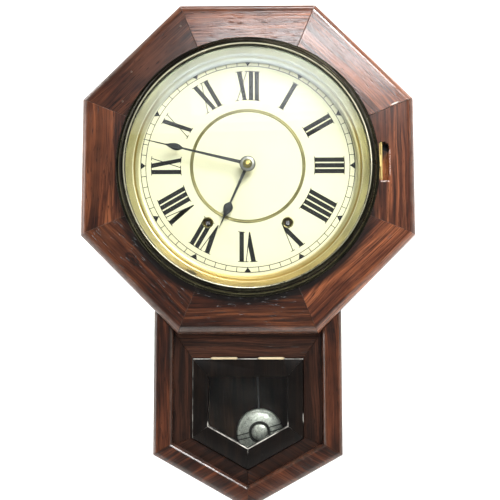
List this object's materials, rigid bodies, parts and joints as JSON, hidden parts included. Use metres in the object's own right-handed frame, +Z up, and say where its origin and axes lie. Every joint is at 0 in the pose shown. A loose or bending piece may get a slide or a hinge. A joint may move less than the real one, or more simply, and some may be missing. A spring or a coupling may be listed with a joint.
{
  "type": "schoolhouse wall clock",
  "caption": "Octagon-fronted wall clock with a pointed pendulum drop, hinged glazed bezel and door, hands on a painted dial, time and strike wheel trains, and a pendulum.",
  "frame": {"origin": "centre of the hanger hole, on the back plane that lies against the wall", "axes": "+Z up, +Y into the wall, +X to the viewer's right; the dial faces -Y"},
  "size_m": [0.432, 0.1204, 0.6505],
  "materials": {
    "rosewood_octagon": "polished, red-brown figured veneer",
    "rosewood_drop": "polished, dark red-brown",
    "door_wood": "polished, nearly black-brown",
    "case_wood": "stained softwood, satin",
    "raw_wood": "darkened bare softwood",
    "bezel_brass": "aged brass, nearly black, worn bright on the rolls",
    "reflector_brass": "polished, thinly tarnished",
    "dial_brass": "aged gilt",
    "small_brass": "satin brass",
    "movement_brass": "machined plate and wheel brass",
    "steel": "plain steel",
    "spring_steel": "blue-grey tempered steel",
    "blued_hands": "blued nearly black",
    "bob_metal": "dull nickel shell, spotted",
    "dial_paint": "cream enamel with black numerals",
    "glass": "clear window glass"
  },
  "bodies": {
    "case": {"backboard": "raw_wood", "case_side_left": "case_wood", "case_side_right": "case_wood", "case_top": "case_wood", "case_floor_boards": "case_wood", "octagon_segments": "rosewood_octagon", "drop_mouldings": "rosewood_drop", "drop_frame": "rosewood_drop", "hanger_plate": "small_brass", "case_screws": "steel", "bezel_hinge_case_leaf": "bezel_brass", "bezel_catch": "small_brass", "door_hinge_case_leaves": "small_brass", "door_catch": "small_brass", "dial_plate": "dial_paint", "dial_centre_ring": "dial_brass", "winding_grommets": "dial_brass", "dial_screws": "small_brass", "movement_front_plate": "movement_brass", "movement_back_plate": "movement_brass", "plate_pillars": "steel", "pillar_nuts": "steel", "movement_cleats": "raw_wood", "suspension_cock": "small_brass", "gong_stand": "steel", "gong_coil": "spring_steel", "time_mainspring": "spring_steel", "strike_mainspring": "spring_steel"},
    "bezel": {"bezel_rim": "bezel_brass", "bezel_glass": "glass", "sight_ring": "reflector_brass", "bezel_hinge_leaf": "bezel_brass", "bezel_hinge_pin": "bezel_brass"},
    "lower_door": {"lower_door_frame": "door_wood", "lower_door_glass": "glass", "lower_door_beads": "door_wood", "door_hinge_leaves": "small_brass", "door_hinge_pins": "small_brass"},
    "minute_work": {"minute_hand": "blued_hands", "hand_nut": "dial_brass", "cannon_pinion": "movement_brass", "centre_wheel": "movement_brass"},
    "hour_work": {"hour_hand": "blued_hands", "hour_wheel": "movement_brass"},
    "motion_wheel": {"minute_wheel": "movement_brass"},
    "second_arbor": {"second_wheel": "movement_brass"},
    "time_great": {"time_great_wheel": "movement_brass"},
    "time_winder": {"time_winding_arbor": "steel"},
    "third_arbor": {"third_wheel": "movement_brass"},
    "escape_arbor": {"escape_wheel": "movement_brass"},
    "verge_arbor": {"verge": "steel"},
    "pendulum": {"pendulum_rod": "steel", "pendulum_bob": "bob_metal", "rating_nut": "small_brass"},
    "strike_great": {"strike_great_wheel": "movement_brass"},
    "strike_winder": {"strike_winding_arbor": "steel"},
    "pin_arbor": {"strike_pin_wheel": "movement_brass"},
    "warning_arbor": {"warning_wheel": "movement_brass"},
    "fly_arbor": {"fly": "movement_brass"},
    "hammer_arbor": {"hammer": "steel"}
  },
  "joints": [
    {"name": "bezel_hinge", "type": "hinge", "parent": "case", "child": "bezel", "pos_m": [0.172, -0.1048, -0.1445], "axis": [0, 0, 1], "range_deg": [0, 110]},
    {"name": "lower_door_hinge", "type": "hinge", "parent": "case", "child": "lower_door", "pos_m": [0, -0.0894, -0.3969], "axis": [-1, 0, 0], "range_deg": [0, 110]},
    {"name": "minute_hand_turn", "type": "hinge", "parent": "case", "child": "minute_work", "pos_m": [0, -0.05, -0.1468], "axis": [0, 1, 0], "continuous": true},
    {"name": "hour_hand_turn", "type": "hinge", "parent": "case", "child": "hour_work", "pos_m": [0, -0.05, -0.1468], "axis": [0, 1, 0], "continuous": true},
    {"name": "motion_wheel_turn", "type": "hinge", "parent": "case", "child": "motion_wheel", "pos_m": [-0.01691, -0.05, -0.15296], "axis": [0, 1, 0], "continuous": true},
    {"name": "second_wheel_turn", "type": "hinge", "parent": "case", "child": "second_arbor", "pos_m": [0.03304, -0.05, -0.18298], "axis": [0, 1, 0], "continuous": true},
    {"name": "time_great_turn", "type": "hinge", "parent": "case", "child": "time_great", "pos_m": [0.052, -0.05, -0.2218], "axis": [0, 1, 0], "continuous": true},
    {"name": "third_wheel_turn", "type": "hinge", "parent": "case", "child": "third_arbor", "pos_m": [0.01974, -0.05, -0.13146], "axis": [0, 1, 0], "continuous": true},
    {"name": "escape_wheel_turn", "type": "hinge", "parent": "case", "child": "escape_arbor", "pos_m": [0, -0.05, -0.1173], "axis": [0, 1, 0], "continuous": true},
    {"name": "time_winding", "type": "hinge", "parent": "case", "child": "time_winder", "pos_m": [0.052, -0.05, -0.2218], "axis": [0, 1, 0], "continuous": true},
    {"name": "pendulum_swing", "type": "hinge", "parent": "case", "child": "pendulum", "pos_m": [0, -0.028, -0.0918], "axis": [0, -1, 0], "range_deg": [-6.6, 2.4]},
    {"name": "verge_rock", "type": "hinge", "parent": "case", "child": "verge_arbor", "pos_m": [0, -0.05, -0.0918], "axis": [0, -1, 0], "range_deg": [-6.6, 2.4]},
    {"name": "strike_pin_wheel_turn", "type": "hinge", "parent": "case", "child": "pin_arbor", "pos_m": [-0.03304, -0.05, -0.18298], "axis": [0, 1, 0], "continuous": true},
    {"name": "strike_great_turn", "type": "hinge", "parent": "case", "child": "strike_great", "pos_m": [-0.052, -0.05, -0.2218], "axis": [0, 1, 0], "continuous": true},
    {"name": "warning_wheel_turn", "type": "hinge", "parent": "case", "child": "warning_arbor", "pos_m": [-0.04358, -0.05, -0.15404], "axis": [0, 1, 0], "continuous": true},
    {"name": "fly_turn", "type": "hinge", "parent": "case", "child": "fly_arbor", "pos_m": [-0.04006, -0.05, -0.1341], "axis": [0, 1, 0], "continuous": true},
    {"name": "strike_winding", "type": "hinge", "parent": "case", "child": "strike_winder", "pos_m": [-0.052, -0.05, -0.2218], "axis": [0, 1, 0], "continuous": true},
    {"name": "hammer_lift", "type": "hinge", "parent": "case", "child": "hammer_arbor", "pos_m": [-0.088, -0.05, -0.2428], "axis": [0, 1, 0], "range_deg": [0, 8], "stiffness_Nm_per_rad": 0.01, "springref_deg": -34.38}
  ],
  "couplings": [
    {"joint": "hour_hand_turn", "follows": "minute_hand_turn", "ratio": 0.083333},
    {"joint": "motion_wheel_turn", "follows": "minute_hand_turn", "ratio": -0.33333},
    {"joint": "second_wheel_turn", "follows": "minute_hand_turn", "ratio": -0.36111},
    {"joint": "time_great_turn", "follows": "minute_hand_turn", "ratio": 0.072222},
    {"joint": "third_wheel_turn", "follows": "minute_hand_turn", "ratio": -9},
    {"joint": "escape_wheel_turn", "follows": "minute_hand_turn", "ratio": 88.2},
    {"joint": "verge_rock", "follows": "pendulum_swing", "ratio": 1},
    {"joint": "strike_great_turn", "follows": "strike_pin_wheel_turn", "ratio": -0.2},
    {"joint": "warning_wheel_turn", "follows": "strike_pin_wheel_turn", "ratio": -7.8},
    {"joint": "fly_turn", "follows": "strike_pin_wheel_turn", "ratio": 62.4}
  ]
}
